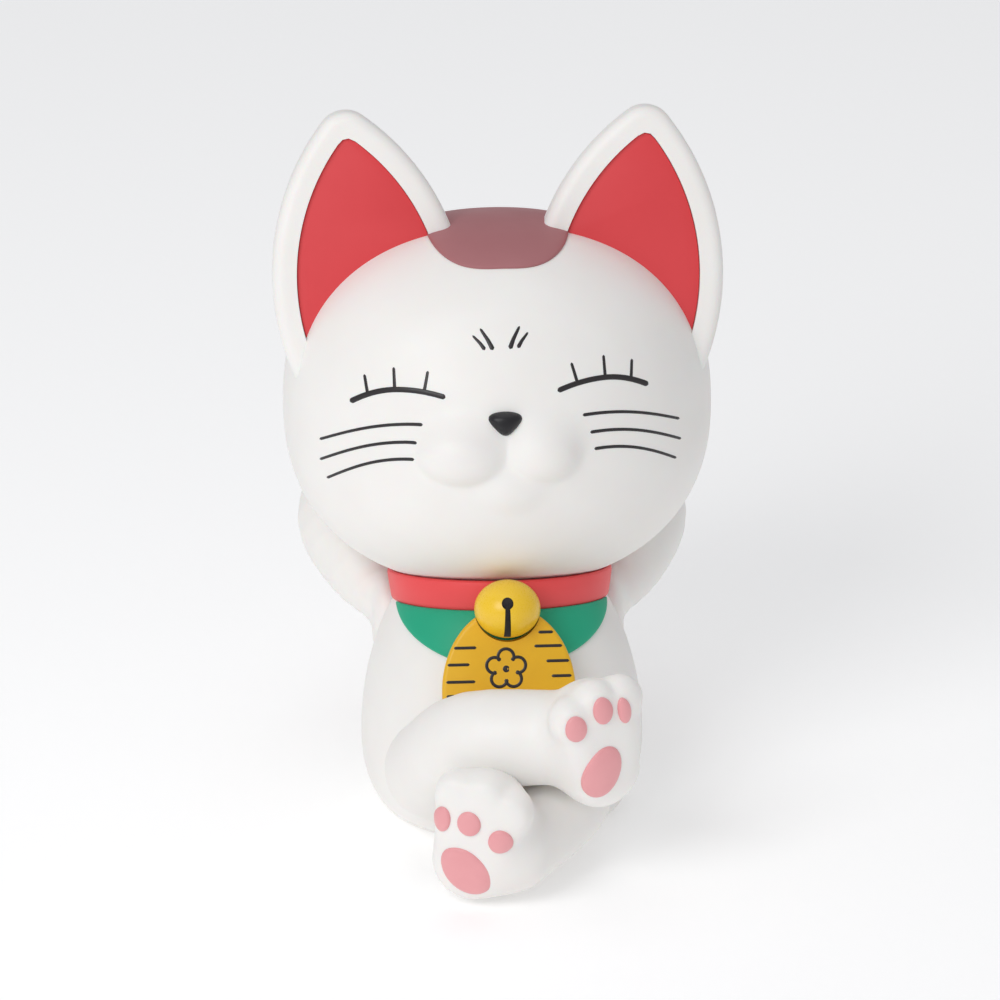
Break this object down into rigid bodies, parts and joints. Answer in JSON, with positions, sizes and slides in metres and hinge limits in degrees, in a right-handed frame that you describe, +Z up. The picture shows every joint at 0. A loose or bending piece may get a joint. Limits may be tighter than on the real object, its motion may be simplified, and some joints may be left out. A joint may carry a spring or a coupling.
{
  "type": "beckoning cat figurine",
  "caption": "Hollow vinyl lucky cat leaning back, arms folded behind a turning head, legs crossed, with collar, bib, bell and oval coin.",
  "frame": {"origin": "centre of the flat base, on the ground under the torso", "axes": "+Z up, the cat faces -Y, +X is the cat's own left"},
  "size_m": [0.108, 0.1559, 0.1698],
  "materials": {
    "white_vinyl": "matt sprayed white",
    "red_vinyl": "matt sprayed red",
    "green_vinyl": "matt sprayed green",
    "yellow_paint": "satin yellow",
    "gold_paint": "satin golden yellow",
    "pink_paint": "matt pink",
    "brown_paint": "matt red-brown",
    "black_paint": "satin black",
    "inner_nylon": "moulded natural",
    "plug_pvc": "moulded soft, satin"
  },
  "bodies": {
    "torso": {"torso_shell": "white_vinyl", "base_plug": "plug_pvc", "neck_post": "inner_nylon", "collar": "red_vinyl", "bib": "green_vinyl", "bell": "yellow_paint", "coin": "gold_paint", "left_leg": "white_vinyl", "right_leg": "white_vinyl", "left_sole_pad": "pink_paint", "right_sole_pad": "pink_paint", "left_toe_pads": "pink_paint", "right_toe_pads": "pink_paint", "tail": "white_vinyl"},
    "head": {"head_shell": "white_vinyl", "neck_bush": "inner_nylon", "crown_patch": "brown_paint", "nose": "black_paint", "left_ear": "white_vinyl", "right_ear": "white_vinyl", "left_ear_lining": "red_vinyl", "right_ear_lining": "red_vinyl"},
    "left_arm": {"left_arm": "white_vinyl", "left_shoulder_peg": "inner_nylon"},
    "right_arm": {"right_arm": "white_vinyl", "right_shoulder_peg": "inner_nylon"}
  },
  "joints": [
    {"name": "neck_swivel", "type": "hinge", "parent": "torso", "child": "head", "pos_m": [0, 0.01449, 0.05409], "axis": [0, 0.2588, 0.9659], "range_deg": [-12, 12]},
    {"name": "left_shoulder", "type": "hinge", "parent": "torso", "child": "left_arm", "pos_m": [0.0275, 0.02385, 0.04071], "axis": [-1, 0, 0], "range_deg": [0, 25]},
    {"name": "right_shoulder", "type": "hinge", "parent": "torso", "child": "right_arm", "pos_m": [-0.0275, 0.02385, 0.04071], "axis": [-1, 0, 0], "range_deg": [0, 25]}
  ]
}
